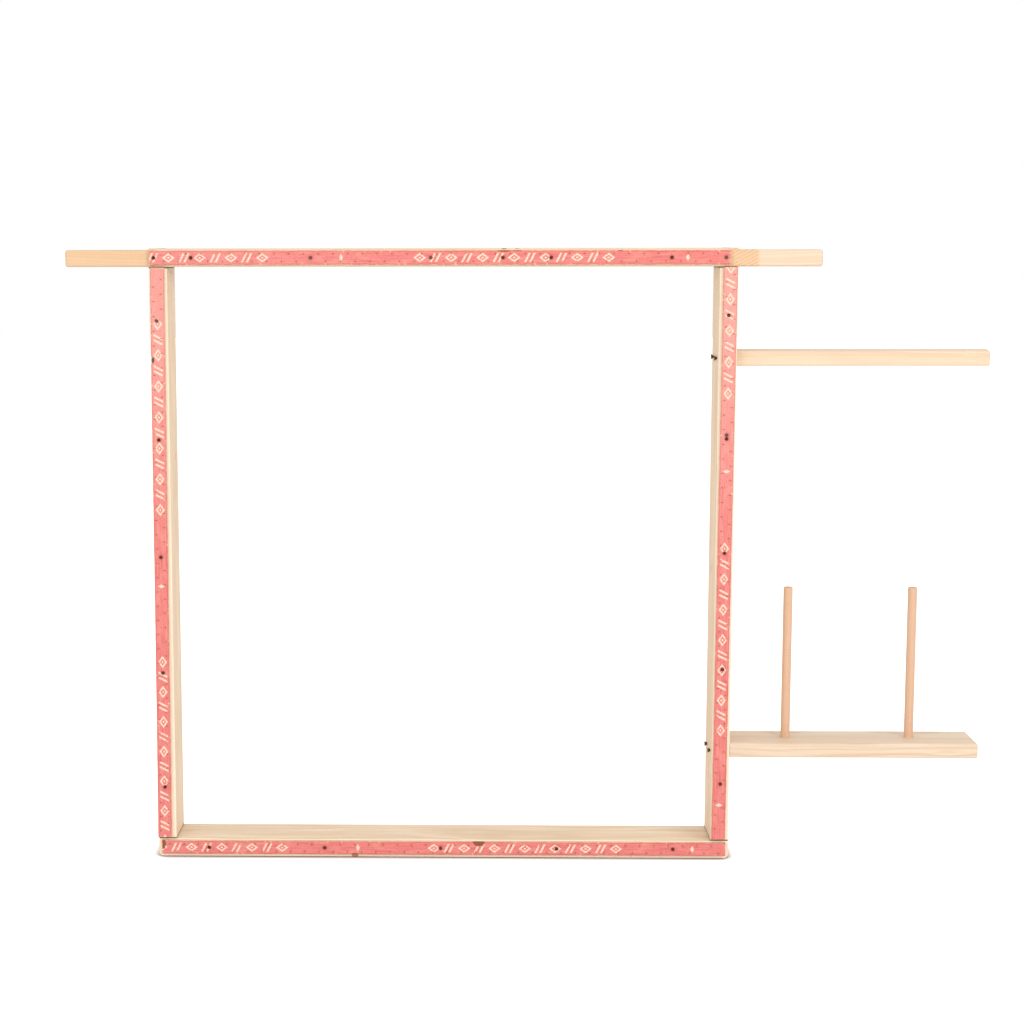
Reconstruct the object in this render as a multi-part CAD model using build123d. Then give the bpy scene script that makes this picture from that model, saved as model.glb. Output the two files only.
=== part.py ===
from build123d import *
import math
import os

# A rug tufting frame: four softwood planks on edge, screwed into a square, with spiked
# carpet gripper strip nailed round the front. The top plank runs past both sides as two
# arms. A yarn shelf with two loose dowel pegs and a plain guide bar are screwed to the
# right-hand stile from inside the window.
#
# Millimetres. X runs along the rails, Y from front to back and Z up. The origin is the
# middle of the bottom rail's underside.

# Planks
FRAME_WIDTH = 1000.0        # over the outer faces of the two stiles
STILE_LENGTH = 1000.0       # a stile, cut square, stands between the two rails
PLANK_THICKNESS = 31.0
PLANK_DEPTH = 96.0          # front to back
PLANK_ARRIS = 1.5           # rounding of a sawn plank's long edges
STILE_END_EASE = 0.8        # small chamfer round a stile's cut ends
RAIL_TOE_RADIUS = 7.0       # worn lower corners of the bottom rail
ARM_LENGTH = 142.0          # how far the top rail runs past each stile
ARM_PLANED_OFF = 2.5        # the arms are planed down this much from above
ARM_ARRIS = 4.0

# Gripper strip
STRIP_WIDTH = 24.0
STRIP_THICKNESS = 6.5
STRIP_EDGE_EASE = 0.6
STRIP_ALONG_TOP = (2.0, 14.0)       # left and right ends, in from the frame's outer faces
STRIP_ALONG_BOTTOM = (5.0, 5.0)
STRIP_ALONG_STILES = (4.0, 1.0)     # lower and upper ends, in from the rails
# A strip is narrower than its plank. Each number is the share of that bare margin which
# lies on the outer side of the strip, from 0 (flush with the outer face) to 1.
STRIP_SET_TOP = 0.5
STRIP_SET_BOTTOM = 0.75
STRIP_SET_LEFT = 0.15
STRIP_SET_RIGHT = 0.55

# Gripper pins, driven through the strip from behind so that they lean outwards
PIN_DIAMETER = 1.4
PIN_PROUD = 4.5             # height of the point above the strip's face
PIN_TIP = 2.5               # length of the sharpened end
PIN_LEAN = 30.0             # degrees from square to the face
PIN_EDGE_GAP = 5.5          # each row's distance from the strip's edge, at the face
PIN_PITCH = 25.0
PIN_NAIL_GAP = 6.0          # no pin stands nearer than this to a nail, along the strip

# Strip nails
NAIL_HEAD_DIAMETER = 6.0
NAIL_HEAD_HEIGHT = 1.2
NAIL_DIAMETER = 2.6
NAIL_LENGTH = 25.0          # under the head
NAIL_POINT = 4.0
NAIL_PITCH = 203.5
NAIL_END_GAP = 12.0         # least distance from a nail to the strip's far end
FIRST_NAIL_TOP = 71.0       # from the strip's starting end to its first nail
FIRST_NAIL_BOTTOM = 92.0
FIRST_NAIL_LEFT = 91.0
FIRST_NAIL_RIGHT = 81.0
END_TACK_GAP = 7.5          # two more nails hold the top strip down at its very ends
MENDING_NAIL_TOP = 600.0    # one more nail along the top strip
MENDING_NAIL_RIGHT = 291.0  # and one down the right strip

# Wood screws
SCREW_HEAD_DIAMETER = 9.0
SCREW_HEAD_RIM = 0.7
SCREW_CONE_HEIGHT = 4.3
SCREW_DIAMETER = 4.4
SCREW_POINT = 8.0
SCREW_SPACING = 48.0        # front to back, between the two screws of a pair
RECESS_LENGTH = 4.6         # cross recess in the head
RECESS_WIDTH = 1.0
RECESS_DEPTH = 1.9
CORNER_SCREW_LENGTH = 80.0
CORNER_HEAD_PROUD = 0.3     # top corners: heads just above the rail
CORNER_HEAD_SUNK = 1.0      # bottom corners: heads below the face that meets the floor
SIDE_SCREW_LENGTH = 70.0
SIDE_HEAD_PROUD = 4.6       # side screws were left with their whole head standing out
EDGE_SCREW_DROP = 158.0     # below the stile's top
EDGE_SCREW_TURN = 60.0      # degrees round from the front
EDGE_SCREW_DEPTH = 3.5      # its head's centre, behind the strip's face
EDGE_SCREW_TIP_GAP = 2.5    # wood left between its point and the stile's inner face

# Yarn shelf, pegs and guide bar
BOARD_THICKNESS = 26.0
BOARD_ARRIS = 3.0
SHELF_LENGTH = 431.0
SHELF_TOP = 206.5           # above the floor
SHELF_SCREW_DROP = 5.5      # screws below the middle of the shelf's thickness
PEG_DIAMETER = 16.0
PEG_LENGTH = 290.0
PEG_CHAMFER = 1.0
PEG_FOOT_STEP = 0.3         # radial: the foot is sanded down to slip into its hole
PEG_HOLE_FLOOR = 4.0        # wood left under a peg's blind hole
PEG_CLEARANCE = 0.05        # radial, between foot and hole
INNER_PEG_REACH = 103.0     # from the stile's outer face
OUTER_PEG_END_GAP = 111.5   # from the shelf's free end
GUIDE_LENGTH = 432.0        # along its front edge
GUIDE_END_SKEW = 12.0       # its free end was sawn out of square: the back edge is longer
GUIDE_DEPTH = 69.0
GUIDE_DROP = 156.0          # the bar's middle, below the stile's top

# Places that follow from the sizes above
HALF_WIDTH = FRAME_WIDTH / 2
STILE_TOP = PLANK_THICKNESS + STILE_LENGTH
FRAME_HEIGHT = STILE_TOP + PLANK_THICKNESS
FRONT = -PLANK_DEPTH / 2
STRIP_FACE = FRONT - STRIP_THICKNESS
PIN_ROW = STRIP_WIDTH / 2 - PIN_EDGE_GAP
INNER_FACE = HALF_WIDTH - PLANK_THICKNESS
STILE_MIDDLE = HALF_WIDTH - PLANK_THICKNESS / 2
SCREW_ROWS = (-SCREW_SPACING / 2, SCREW_SPACING / 2)
BARE_MARGIN = PLANK_THICKNESS - STRIP_WIDTH
PEG_HOLE_DEPTH = BOARD_THICKNESS - PEG_HOLE_FLOOR
PEG_FOOT_RADIUS = PEG_DIAMETER / 2 - PEG_FOOT_STEP
GUIDE_MIDDLE = STILE_TOP - GUIDE_DROP


def eased_box(length, depth, height, radius):
    """A box with its long edges, along X, rounded."""
    box = Box(length, depth, height)
    return fillet(box.edges().filter_by(Axis.X), radius)


def turned(points):
    """A solid of revolution about Z from (radius, height) points."""
    profile = make_face(Polyline([(radius, 0, height) for radius, height in points], close=True))
    return revolve(profile, Axis.Z)


def screw_blank(length):
    """A countersunk screw with its head's flat at the origin, pointing down. No recess."""
    head, shank = SCREW_HEAD_DIAMETER / 2, SCREW_DIAMETER / 2
    neck = -SCREW_HEAD_RIM - SCREW_CONE_HEIGHT
    return turned([
        (0, 0), (head, 0), (head, -SCREW_HEAD_RIM), (shank, neck),
        (shank, SCREW_POINT - length), (0, -length),
    ])


def screws(length, places):
    """Finished screws, and the blanks that their holes are cut with."""
    blank = screw_blank(length)
    across = Box(RECESS_LENGTH, RECESS_WIDTH, 2 * RECESS_DEPTH)
    finished = blank - across - Rot(0, 0, 90) * across
    return [place * finished for place in places], [place * blank for place in places]


def nail():
    """A round-headed nail with the head's underside at the origin, pointing along +Y."""
    head, shank = NAIL_HEAD_DIAMETER / 2, NAIL_DIAMETER / 2
    upright = turned([
        (0, NAIL_HEAD_HEIGHT), (0.6 * head, NAIL_HEAD_HEIGHT), (head, 0.45 * NAIL_HEAD_HEIGHT),
        (head, 0), (shank, 0), (shank, NAIL_POINT - NAIL_LENGTH), (0, -NAIL_LENGTH),
    ])
    return Rot(90, 0, 0) * upright


def pin():
    """A gripper pin through a strip whose face is at Y = 0, leaning towards +Z."""
    lean = math.radians(PIN_LEAN)
    above = PIN_PROUD / math.cos(lean)
    below = STRIP_THICKNESS / math.cos(lean) + PIN_DIAMETER
    radius = PIN_DIAMETER / 2
    upright = turned([(0, above), (radius, above - PIN_TIP), (radius, -below), (0, -below)])
    behind = Pos(0, STRIP_THICKNESS + PIN_DIAMETER * 2, 0) * Box(
        4 * STRIP_THICKNESS, 4 * PIN_DIAMETER, 4 * STRIP_THICKNESS)
    return Rot(90 - PIN_LEAN, 0, 0) * upright - behind


def nail_stations(length, first, extra):
    """Distances along a strip of its nails: an even pitch, then the extra ones."""
    count = 1 + int((length - NAIL_END_GAP - first) // NAIL_PITCH)
    return [first + NAIL_PITCH * i for i in range(count)] + list(extra)


def pin_stations(length, keep_clear):
    """(distance along the strip, row) of each pin: two staggered rows, clear of the nails."""
    stations = []
    for i in range(int(2 * (length - PIN_PITCH) // PIN_PITCH) + 1):
        along = PIN_PITCH / 2 + i * PIN_PITCH / 2
        if all(abs(along - other) > PIN_NAIL_GAP for other in keep_clear):
            stations.append((along, 1 if i % 2 == 0 else -1))
    return stations


def gripper(start, turn, length, first_nail, extra_nails=(), keep_clear=()):
    """A strip with its pins and nails. start is the strip's starting end, at its middle
    and on the plank's face, and turn is its direction about Y, with +Z local outwards."""
    place = Pos(*start) * Rot(0, turn, 0)
    nails_along = nail_stations(length, first_nail, extra_nails)
    blank = Pos(length / 2, -STRIP_THICKNESS / 2, 0) * Box(length, STRIP_THICKNESS, STRIP_WIDTH)
    blank = chamfer(blank.faces().sort_by(Axis.Y)[0].edges(), STRIP_EDGE_EASE)
    pins = [
        Pos(along, -STRIP_THICKNESS, row * PIN_ROW) * pin()
        for along, row in pin_stations(length, [*nails_along, *keep_clear])
    ]
    nails = [Pos(along, -STRIP_THICKNESS, 0) * nail() for along in nails_along]
    strip = blank - pins - nails
    return place * strip, [place * p for p in pins], [place * n for n in nails]


def bottom_rail(cutters):
    rail = Box(FRAME_WIDTH, PLANK_DEPTH, PLANK_THICKNESS)
    toes = rail.faces().sort_by(Axis.Z)[0].edges().filter_by(Axis.Y)
    rail = fillet(toes, RAIL_TOE_RADIUS)
    rail = fillet(rail.faces().sort_by(Axis.Z)[-1].edges().filter_by(Axis.X), PLANK_ARRIS)
    return Pos(0, 0, PLANK_THICKNESS / 2) * rail - cutters


def top_rail(cutters):
    """The longest plank, planed down to two rounded arms outside the stiles."""
    middle = eased_box(FRAME_WIDTH, PLANK_DEPTH, PLANK_THICKNESS, PLANK_ARRIS)
    arms = Box(FRAME_WIDTH + 2 * ARM_LENGTH, PLANK_DEPTH, PLANK_THICKNESS - ARM_PLANED_OFF)
    arms = fillet(arms.edges(), ARM_ARRIS)
    rail = middle + Pos(0, 0, -ARM_PLANED_OFF / 2) * arms
    return Pos(0, 0, STILE_TOP + PLANK_THICKNESS / 2) * rail - cutters


def stile(side, cutters):
    post = Box(PLANK_THICKNESS, PLANK_DEPTH, STILE_LENGTH)
    post = fillet(post.edges().filter_by(Axis.Z), PLANK_ARRIS)
    ends = post.faces().filter_by(Axis.Z)
    post = chamfer([edge for end in ends for edge in end.edges()], STILE_END_EASE)
    return Pos(side * STILE_MIDDLE, 0, PLANK_THICKNESS + STILE_LENGTH / 2) * post - cutters


def side_board(length, depth, middle_height, skew=0.0):
    """A board that butts against the right stile's outer face and is rounded elsewhere.
    skew is how much longer its back edge is than its front edge."""
    outline = make_face(Polyline([
        (0, -depth / 2), (length, -depth / 2), (length + skew, depth / 2), (0, depth / 2),
    ], close=True))
    board = extrude(outline, BOARD_THICKNESS / 2, both=True)
    butt = board.faces().sort_by(Axis.X)[0]
    free = [edge for edge in board.edges() if edge not in butt.edges()]
    return Pos(HALF_WIDTH, 0, middle_height) * fillet(free, BOARD_ARRIS)


def peg(x):
    """A dowel whose foot fills its hole and whose full thickness starts at the shelf."""
    full, foot = PEG_DIAMETER / 2, PEG_FOOT_RADIUS
    top = PEG_LENGTH - PEG_HOLE_DEPTH
    dowel = turned([
        (0, top), (full - PEG_CHAMFER, top), (full, top - PEG_CHAMFER), (full, 0), (foot, 0),
        (foot, PEG_CHAMFER - PEG_HOLE_DEPTH), (foot - PEG_CHAMFER, -PEG_HOLE_DEPTH),
        (0, -PEG_HOLE_DEPTH),
    ])
    return Pos(x, 0, SHELF_TOP) * dowel


def peg_hole(x):
    hole = Cylinder(PEG_FOOT_RADIUS + PEG_CLEARANCE, PEG_HOLE_DEPTH)
    return Pos(x, 0, SHELF_TOP - PEG_HOLE_DEPTH / 2) * hole


def corner_screws(side, top):
    """Two screws through a rail into a stile's end grain."""
    if top:
        head, flip = FRAME_HEIGHT + CORNER_HEAD_PROUD, 0
    else:
        head, flip = CORNER_HEAD_SUNK, 180
    places = [Pos(side * STILE_MIDDLE, y, head) * Rot(flip, 0, 0) for y in SCREW_ROWS]
    made, blanks = screws(CORNER_SCREW_LENGTH, places)
    if not top:
        # The counterbore over a sunk head is part of the hole.
        bore = Cylinder(SCREW_HEAD_DIAMETER / 2, CORNER_HEAD_SUNK)
        blanks += [
            Pos(side * STILE_MIDDLE, y, CORNER_HEAD_SUNK / 2) * bore for y in SCREW_ROWS
        ]
    return made, blanks


def side_screws(height):
    """Two screws from inside the window, through the right stile into a board's end."""
    head = INNER_FACE - SIDE_HEAD_PROUD
    places = [Pos(head, y, height) * Rot(0, -90, 0) for y in SCREW_ROWS]
    return screws(SIDE_SCREW_LENGTH, places)


def edge_screw():
    """A stray screw driven slantwise through the left strip's outer edge into the stile."""
    turn = math.radians(EDGE_SCREW_TURN)
    inset = STRIP_SET_LEFT * BARE_MARGIN + SCREW_HEAD_DIAMETER / 2 * math.cos(turn)
    length = (PLANK_THICKNESS - inset - EDGE_SCREW_TIP_GAP) / math.sin(turn)
    place = Pos(inset - HALF_WIDTH, STRIP_FACE + EDGE_SCREW_DEPTH, STILE_TOP - EDGE_SCREW_DROP)
    return screws(length, [place * Rot(0, 0, -EDGE_SCREW_TURN) * Rot(90, 0, 0)])


def grippers():
    """The four strips, each with its pins and nails, by the side that they are on."""
    top, bottom, left, right = (
        share * BARE_MARGIN + STRIP_WIDTH / 2
        for share in (STRIP_SET_TOP, STRIP_SET_BOTTOM, STRIP_SET_LEFT, STRIP_SET_RIGHT)
    )
    top_length = FRAME_WIDTH - sum(STRIP_ALONG_TOP)
    bottom_length = FRAME_WIDTH - sum(STRIP_ALONG_BOTTOM)
    side_length = STILE_LENGTH - sum(STRIP_ALONG_STILES)
    low, high = STRIP_ALONG_STILES
    return {
        "top": gripper(
            (-HALF_WIDTH + STRIP_ALONG_TOP[0], FRONT, FRAME_HEIGHT - top), 0,
            top_length, FIRST_NAIL_TOP,
            extra_nails=(END_TACK_GAP, top_length - END_TACK_GAP, MENDING_NAIL_TOP)),
        "bottom": gripper(
            (HALF_WIDTH - STRIP_ALONG_BOTTOM[1], FRONT, bottom), 180,
            bottom_length, FIRST_NAIL_BOTTOM),
        "left": gripper(
            (left - HALF_WIDTH, FRONT, PLANK_THICKNESS + low), -90,
            side_length, FIRST_NAIL_LEFT,
            keep_clear=[STILE_LENGTH - EDGE_SCREW_DROP - low]),
        "right": gripper(
            (HALF_WIDTH - right, FRONT, STILE_TOP - high), 90,
            side_length, FIRST_NAIL_RIGHT,
            extra_nails=(MENDING_NAIL_RIGHT,)),
    }


def build():
    nodes = {}
    nail_cuts = {}
    stray, stray_cut = edge_screw()
    for where, (strip, pins, nails) in grippers().items():
        nail_cuts[where] = nails
        nodes[f"gripper_strip_{where}"] = strip - stray_cut if where == "left" else strip
        nodes[f"gripper_pins_{where}"] = Compound(children=pins)
        nodes[f"strip_nails_{where}"] = Compound(children=nails)
    nodes["edge_screw"] = Compound(children=stray)

    corner_cuts = {}
    for side_name, side in (("left", -1), ("right", 1)):
        for level in ("top", "bottom"):
            made, cuts = corner_screws(side, level == "top")
            nodes[f"corner_screws_{level}_{side_name}"] = Compound(children=made)
            corner_cuts[level, side_name] = cuts

    shelf_middle = SHELF_TOP - BOARD_THICKNESS / 2
    shelf_made, shelf_cuts = side_screws(shelf_middle - SHELF_SCREW_DROP)
    guide_made, guide_cuts = side_screws(GUIDE_MIDDLE)
    nodes["shelf_screws"] = Compound(children=shelf_made)
    nodes["guide_bar_screws"] = Compound(children=guide_made)

    for level, plank in (("bottom", bottom_rail), ("top", top_rail)):
        both = corner_cuts[level, "left"] + corner_cuts[level, "right"]
        nodes[f"{level}_rail"] = plank(both + nail_cuts[level])
    left_cuts = corner_cuts["top", "left"] + corner_cuts["bottom", "left"] + stray_cut
    nodes["left_stile"] = stile(-1, left_cuts + nail_cuts["left"])
    right_cuts = corner_cuts["top", "right"] + corner_cuts["bottom", "right"]
    nodes["right_stile"] = stile(1, right_cuts + shelf_cuts + guide_cuts + nail_cuts["right"])

    inner_peg = HALF_WIDTH + INNER_PEG_REACH
    outer_peg = HALF_WIDTH + SHELF_LENGTH - OUTER_PEG_END_GAP
    shelf = side_board(SHELF_LENGTH, PLANK_DEPTH, shelf_middle)
    nodes["yarn_shelf"] = shelf - shelf_cuts - [peg_hole(inner_peg), peg_hole(outer_peg)]
    nodes["yarn_peg_inner"] = peg(inner_peg)
    nodes["yarn_peg_outer"] = peg(outer_peg)
    guide = side_board(GUIDE_LENGTH, GUIDE_DEPTH, GUIDE_MIDDLE, GUIDE_END_SKEW)
    nodes["guide_bar"] = guide - guide_cuts
    return nodes


os.makedirs("parts", exist_ok=True)
for name, shape in build().items():
    export_step(shape, f"parts/{name}.step")
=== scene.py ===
import bmesh
import bpy
import math
import random
from mathutils import Matrix, Vector, noise


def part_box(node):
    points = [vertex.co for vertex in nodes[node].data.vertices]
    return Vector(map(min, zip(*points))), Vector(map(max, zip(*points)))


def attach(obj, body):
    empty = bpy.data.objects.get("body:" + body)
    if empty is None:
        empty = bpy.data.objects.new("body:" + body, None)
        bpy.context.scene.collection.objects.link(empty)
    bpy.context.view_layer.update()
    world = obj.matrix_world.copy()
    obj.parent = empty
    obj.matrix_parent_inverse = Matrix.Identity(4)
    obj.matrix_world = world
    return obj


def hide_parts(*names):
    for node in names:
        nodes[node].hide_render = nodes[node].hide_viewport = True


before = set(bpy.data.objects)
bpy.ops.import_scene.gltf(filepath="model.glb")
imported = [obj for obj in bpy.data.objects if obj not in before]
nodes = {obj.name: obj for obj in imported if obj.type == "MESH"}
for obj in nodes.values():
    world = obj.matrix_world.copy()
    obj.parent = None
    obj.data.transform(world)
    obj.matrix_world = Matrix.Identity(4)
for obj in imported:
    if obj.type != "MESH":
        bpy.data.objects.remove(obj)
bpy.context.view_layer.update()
MM = 0.001

# ---------------------------------------------------------------- Studio
# A white room: a matt paper floor and a white sky that show as pure white, one large soft
# warm light on the front right, and a weaker one on the left.
camera = bpy.data.objects.new("camera", bpy.data.cameras.new("camera"))
camera.data.sensor_width = 36.0
camera.data.lens = 73.05
camera.data.shift_x = 0.0824
camera.data.shift_y = 0.0060
camera.data.clip_end = 60.0
camera.matrix_world = (
    Matrix.Translation((0.0449, -3.5946, 1.0732))
    @ Matrix.Rotation(0.0200, 4, "Z")
    @ Matrix.Rotation(math.pi / 2 - 0.1323, 4, "X")
    @ Matrix.Rotation(-0.0012, 4, "Z")
)
bpy.context.scene.collection.objects.link(camera)
bpy.context.scene.camera = camera
bpy.context.scene.view_settings.view_transform = "Standard"


def srgb(code, strength=1.0):
    """The linear colour of a six-figure sRGB hex value."""
    parts = [int(code[i:i + 2], 16) / 255 for i in (0, 2, 4)]
    linear = [c / 12.92 if c <= 0.04045 else ((c + 0.055) / 1.055) ** 2.4 for c in parts]
    return (*[c * strength for c in linear], 1.0)


def add(tree, kind, inputs=(), **settings):
    """One more node. Settings are its own properties. Inputs are numbers, or the nodes or
    sockets that feed it, by name or by place among the sockets in use."""
    node = tree.nodes.new("ShaderNode" + kind)
    for name, value in settings.items():
        setattr(node, name, value)
    in_use = [socket for socket in node.inputs if socket.enabled]
    for key, value in dict(inputs).items():
        named = [socket for socket in in_use if socket.name == key]
        socket = named[0] if named else in_use[key]
        if isinstance(value, bpy.types.Node):
            value = next(out for out in value.outputs if out.enabled)
        if isinstance(value, bpy.types.NodeSocket):
            tree.links.new(value, socket)
        else:
            socket.default_value = value
    return node


# Seamless background paper, white and matt. A glow that only the camera sees over-exposes it,
# without throwing more light on the frame. Within the last two centimetres round whatever stands on
# it, a brown contact shadow is painted instead, for the camera only.
sweep_paper = bpy.data.materials.new("white_sweep_paper")
sweep_paper.use_nodes = True
tree = sweep_paper.node_tree
shader = tree.nodes["Principled BSDF"]
shader.inputs["Roughness"].default_value = 0.9
shader.inputs["Specular IOR Level"].default_value = 0.0
shade = add(tree, "AmbientOcclusion", {"Distance": 0.018}, samples=8)
open_air = add(tree, "Math", {0: shade.outputs["AO"], 1: 2.0}, operation="POWER")
seen = add(tree, "LightPath").outputs["Is Camera Ray"]
unseen = add(tree, "Math", {0: 1.0, 1: seen}, operation="SUBTRACT")
lit = add(tree, "Math", {0: open_air, 1: unseen}, operation="MAXIMUM")
paper_and_painted_shadow = add(tree, "Mix", {0: lit, 1: srgb("7A5648"), 2: srgb("EAE8E6")}, data_type="RGBA")
tree.links.new(paper_and_painted_shadow.outputs[2], shader.inputs["Base Color"])
glow = add(tree, "Math", {0: open_air, 1: seen}, operation="MULTIPLY")
glow = add(tree, "Math", {0: glow, 1: 0.7}, operation="MULTIPLY")
tree.links.new(glow.outputs["Value"], shader.inputs["Emission Strength"])
shader.inputs["Emission Color"].default_value = srgb("FFFFFF")

sweep = bmesh.new()
bmesh.ops.create_grid(sweep, x_segments=1, y_segments=1, size=20.0)
floor = bpy.data.objects.new("studio_floor", bpy.data.meshes.new("studio_floor"))
sweep.to_mesh(floor.data)
sweep.free()
floor.data.materials.append(sweep_paper)
bpy.context.scene.collection.objects.link(floor)

sky = bpy.data.worlds.new("white_room")
sky.use_nodes = True
backdrop = sky.node_tree.nodes["Background"]
backdrop.inputs["Color"].default_value = srgb("FFFFFF")
backdrop.inputs["Strength"].default_value = 1.0
bpy.context.scene.world = sky

for light_name, spot, watts, side in (
    ("key_softbox", (3.2, -4.0, 2.4), 96.0, 2.0),
    ("fill_softbox", (-2.8, -4.2, 1.6), 62.0, 2.4),
):
    light = bpy.data.objects.new(light_name, bpy.data.lights.new(light_name, "AREA"))
    light.data.size = side
    light.data.energy = watts
    light.data.color = srgb("FFF5EA")[:3]
    aim = Vector((0.1, 0, 0.6)) - Vector(spot)
    light.matrix_world = Matrix.Translation(spot) @ aim.to_track_quat("-Z", "Y").to_matrix().to_4x4()
    bpy.context.scene.collection.objects.link(light)

# ---------------------------------------------------------------- Bottom rail
# A pine plank on its flat, sawn and planed, 31 by 96 mm, with its lower corners worn
# round. Flat-sawn pine shows a few long soft growth lines and the odd knot.


def pine(name, turn, pith, ring, knots=(), early="E6D2B8", late="D6B692", mottle=0.5,
         grain=1.0, front_painted_light=0.0, joints=0.0, yellow=(), slanted=None):
    """Planed pine: growth rings round a pith line that runs along the plank. turn is the
    plank's Y rotation that lays its length along X; pith is that line's place, and ring is
    the ring width, in millimetres. Each knot is (centre, reach, heart radius, swirl).
    mottle and grain are strengths, from 0 to 1, of the patches and the lines. The next two
    strengths, from 0 to 1, are of the painted light that lightens the front faces and of the painted
    shadow where the stiles' cut ends meet the rails. On the front, each yellow stretch is (from X,
    to X, strength), and slanted is the stretch of X where the grain runs up steeply."""
    material = bpy.data.materials.new(name)
    material.use_nodes = True
    tree = material.node_tree
    shader = tree.nodes["Principled BSDF"]
    coords = add(tree, "TexCoord")
    place = add(tree, "Mapping", {
        "Vector": coords.outputs["Object"], "Scale": (1000.0, 1000.0, 1000.0),
    })
    plank = add(tree, "Mapping", {
        "Vector": place, "Location": [-v for v in pith], "Rotation": (0, turn, 0),
    })

    # The trunk was never straight: the pith line wanders by a few millimetres per metre.
    slow = add(tree, "VectorMath", {0: plank, 1: (0.0022, 0.009, 0.009)}, operation="MULTIPLY")
    wander = add(tree, "TexNoise", {"Vector": slow, "Scale": 1.0, "Detail": 2.0})
    bend = add(tree, "VectorMath", {0: wander.outputs["Color"], 1: (0.5, 0.5, 0.5)},
               operation="SUBTRACT")
    bend = add(tree, "VectorMath", {0: bend, 1: (0.0, 34.0, 34.0)}, operation="MULTIPLY")
    bent = add(tree, "VectorMath", {0: plank, 1: bend}, operation="ADD")
    across = add(tree, "VectorMath", {0: bent, 1: (0.011, 1.0, 1.0)}, operation="MULTIPLY")
    radius = add(tree, "VectorMath", {0: across}, operation="LENGTH").outputs["Value"]

    # A knot pushes the rings outwards round itself and has a brown heart with rings.
    hearts = []
    for centre, reach, heart, swirl in knots:
        apart = add(tree, "VectorMath", {0: place, 1: centre}, operation="SUBTRACT")
        apart = add(tree, "VectorMath", {0: apart, 1: [1 / r for r in reach]},
                    operation="MULTIPLY")
        distance = add(tree, "VectorMath", {0: apart}, operation="LENGTH").outputs["Value"]
        push = add(tree, "MapRange", {0: distance, 1: 0.0, 2: 1.0, 3: swirl, 4: 0.0},
                   interpolation_type="SMOOTHERSTEP")
        radius = add(tree, "Math", {0: radius, 1: push}, operation="ADD")
        hearts.append(add(tree, "MapRange", {
            0: distance, 1: heart * 0.75, 2: heart, 3: 1.0, 4: 0.0,
        }, interpolation_type="SMOOTHSTEP"))

    # The yellow stretches fade out over the 30 mm behind the front face, and the steep
    # grain stops about half way.
    spread = add(tree, "SeparateXYZ", {0: place})
    near_front = add(tree, "MapRange", {0: spread.outputs["Y"], 1: -46.0, 2: -18.0, 3: 1.0, 4: 0.0},
                     interpolation_type="SMOOTHSTEP")

    # Earlywood darkens slowly into a thin band of latewood and then stops short.
    uneven = add(tree, "TexNoise", {"W": radius, "Scale": 0.09, "Detail": 1.0},
                 noise_dimensions="1D")
    uneven = add(tree, "Math", {0: uneven, 1: 2.2}, operation="MULTIPLY")
    count = add(tree, "Math", {0: radius, 1: 1.0 / ring, 2: uneven}, operation="MULTIPLY_ADD")
    if slanted:
        level = add(tree, "Math", {0: spread.outputs["Z"], 1: -0.17}, operation="MULTIPLY")
        climb = add(tree, "Math", {0: spread.outputs["X"], 1: 0.085, 2: level},
                    operation="MULTIPLY_ADD")
        climb = add(tree, "Math", {0: bend, 1: 0.03, 2: climb}, operation="MULTIPLY_ADD")
        past = add(tree, "Math", {0: spread.outputs["X"], 1: slanted[0]}, operation="GREATER_THAN")
        short_of = add(tree, "Math", {0: spread.outputs["X"], 1: slanted[1]}, operation="LESS_THAN")
        inside = add(tree, "Math", {0: past, 1: short_of}, operation="MULTIPLY")
        skin_deep = add(tree, "Math", {0: near_front, 1: 0.5}, operation="GREATER_THAN")
        inside = add(tree, "Math", {0: inside, 1: skin_deep}, operation="MULTIPLY")
        count = add(tree, "Mix", {0: inside, 1: count, 2: climb}, data_type="FLOAT")
    within = add(tree, "Math", {0: count}, operation="FRACT")
    rise = add(tree, "MapRange", {0: within, 1: 0.25, 2: 0.86, 3: 0.0, 4: 1.0},
               interpolation_type="SMOOTHSTEP")
    stop = add(tree, "MapRange", {0: within, 1: 0.86, 2: 0.99, 3: 1.0, 4: 0.0},
               interpolation_type="SMOOTHSTEP")
    latewood = add(tree, "Math", {0: rise, 1: stop}, operation="MULTIPLY")

    # Wood fibres: fine streaks, 0.5 mm wide and some 40 mm long, drawn a little coarser
    # than the real cells so that they show.
    streak = add(tree, "VectorMath", {0: bent, 1: (0.03, 1.6, 1.6)}, operation="MULTIPLY")
    fibres = add(tree, "TexNoise", {"Vector": streak, "Scale": 1.0, "Detail": 4.0,
                                    "Roughness": 0.65})
    cloud = add(tree, "VectorMath", {0: plank, 1: (0.006, 0.03, 0.03)}, operation="MULTIPLY")
    patches = add(tree, "TexNoise", {"Vector": cloud, "Scale": 1.0, "Detail": 2.0})
    patch = add(tree, "MapRange", {0: patches.outputs["Fac"], 1: 0.35, 2: 0.7, 3: 0.0,
                                   4: mottle})

    # Long, faint lines of lighter and darker wood, 3 mm wide and some 600 mm long.
    line_at = add(tree, "VectorMath", {0: bent, 1: (0.0016, 0.33, 0.33)}, operation="MULTIPLY")
    lines = add(tree, "TexNoise", {"Vector": line_at, "Scale": 1.0, "Detail": 3.0,
                                   "Roughness": 0.6})
    line = add(tree, "MapRange", {0: lines.outputs["Fac"], 1: 0.3, 2: 0.7,
                                  3: 1 + 0.06 * grain, 4: 1 - 0.08 * grain})

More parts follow.
